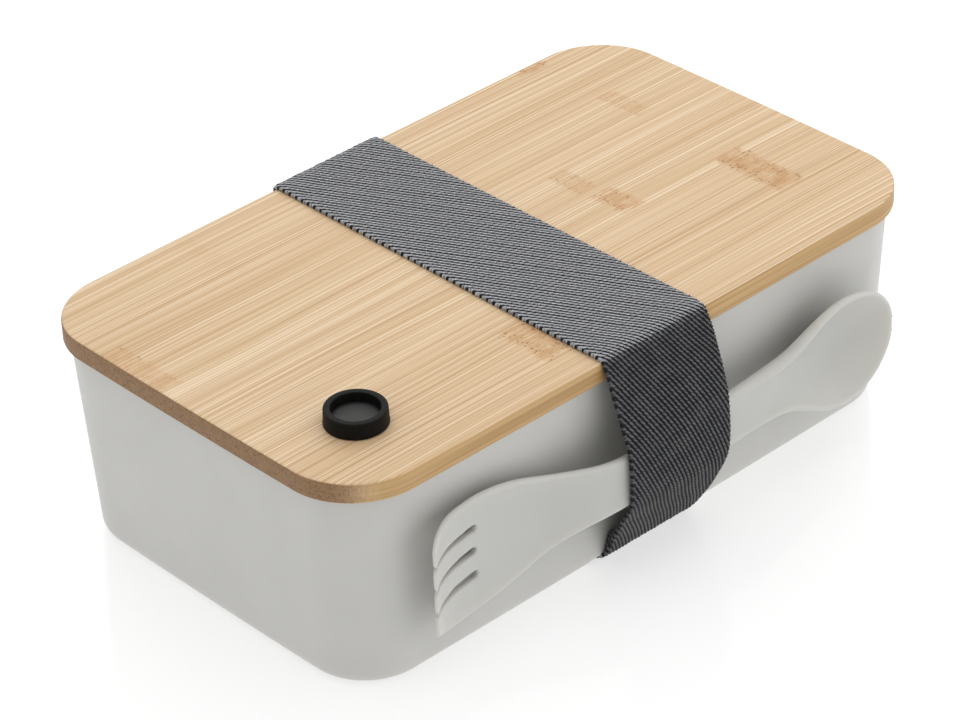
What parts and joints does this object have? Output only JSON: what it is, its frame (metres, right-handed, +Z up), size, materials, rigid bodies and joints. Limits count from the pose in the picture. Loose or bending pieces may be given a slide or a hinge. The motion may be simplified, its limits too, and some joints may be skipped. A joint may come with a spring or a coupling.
{
  "type": "lunch box",
  "caption": "Low rounded plastic tub with an overhanging bamboo lid board, a silicone vent plug in the lid, and a wide elastic band that holds a spork against the front.",
  "frame": {"origin": "middle of the whole object's footprint, on the surface that the tub stands on", "axes": "+X along the box towards the spoon end of the spork, +Z up, and the spork lies on the -Y side"},
  "size_m": [0.2, 0.1313, 0.0671],
  "materials": {
    "tub_plastic": "off-white moulded plastic, satin",
    "bamboo": "pale laminated bamboo, matt oiled, grain along the length",
    "seal_silicone": "milky silicone, satin",
    "plug_silicone": "black silicone, matt",
    "woven_elastic": "dark grey woven elastic with slanted ribs",
    "sewing_thread": "dark grey sewing thread",
    "spork_plastic": "off-white moulded plastic, satin"
  },
  "bodies": {
    "base": {"tub": "tub_plastic"},
    "lid": {"lid_board": "bamboo", "lid_seal": "seal_silicone"},
    "plug": {"vent_plug": "plug_silicone"},
    "band": {"elastic_band": "woven_elastic", "seam_thread": "sewing_thread"},
    "spork": {"spork": "spork_plastic"}
  },
  "joints": [
    {"name": "lid_lift", "type": "slide", "parent": "base", "child": "lid", "axis": [0, 0, 1], "range_m": [0, 0.055], "deforming": ["elastic_band"]},
    {"name": "vent_plug_pull", "type": "slide", "parent": "lid", "child": "plug", "axis": [0, 0, 1], "range_m": [0, 0.018]},
    {"name": "band_slide", "type": "slide", "parent": "base", "child": "band", "axis": [1, 0, 0], "range_m": [0, 0.125]},
    {"name": "spork_slide", "type": "slide", "parent": "band", "child": "spork", "axis": [1, 0, 0], "range_m": [0, 0.11]}
  ]
}
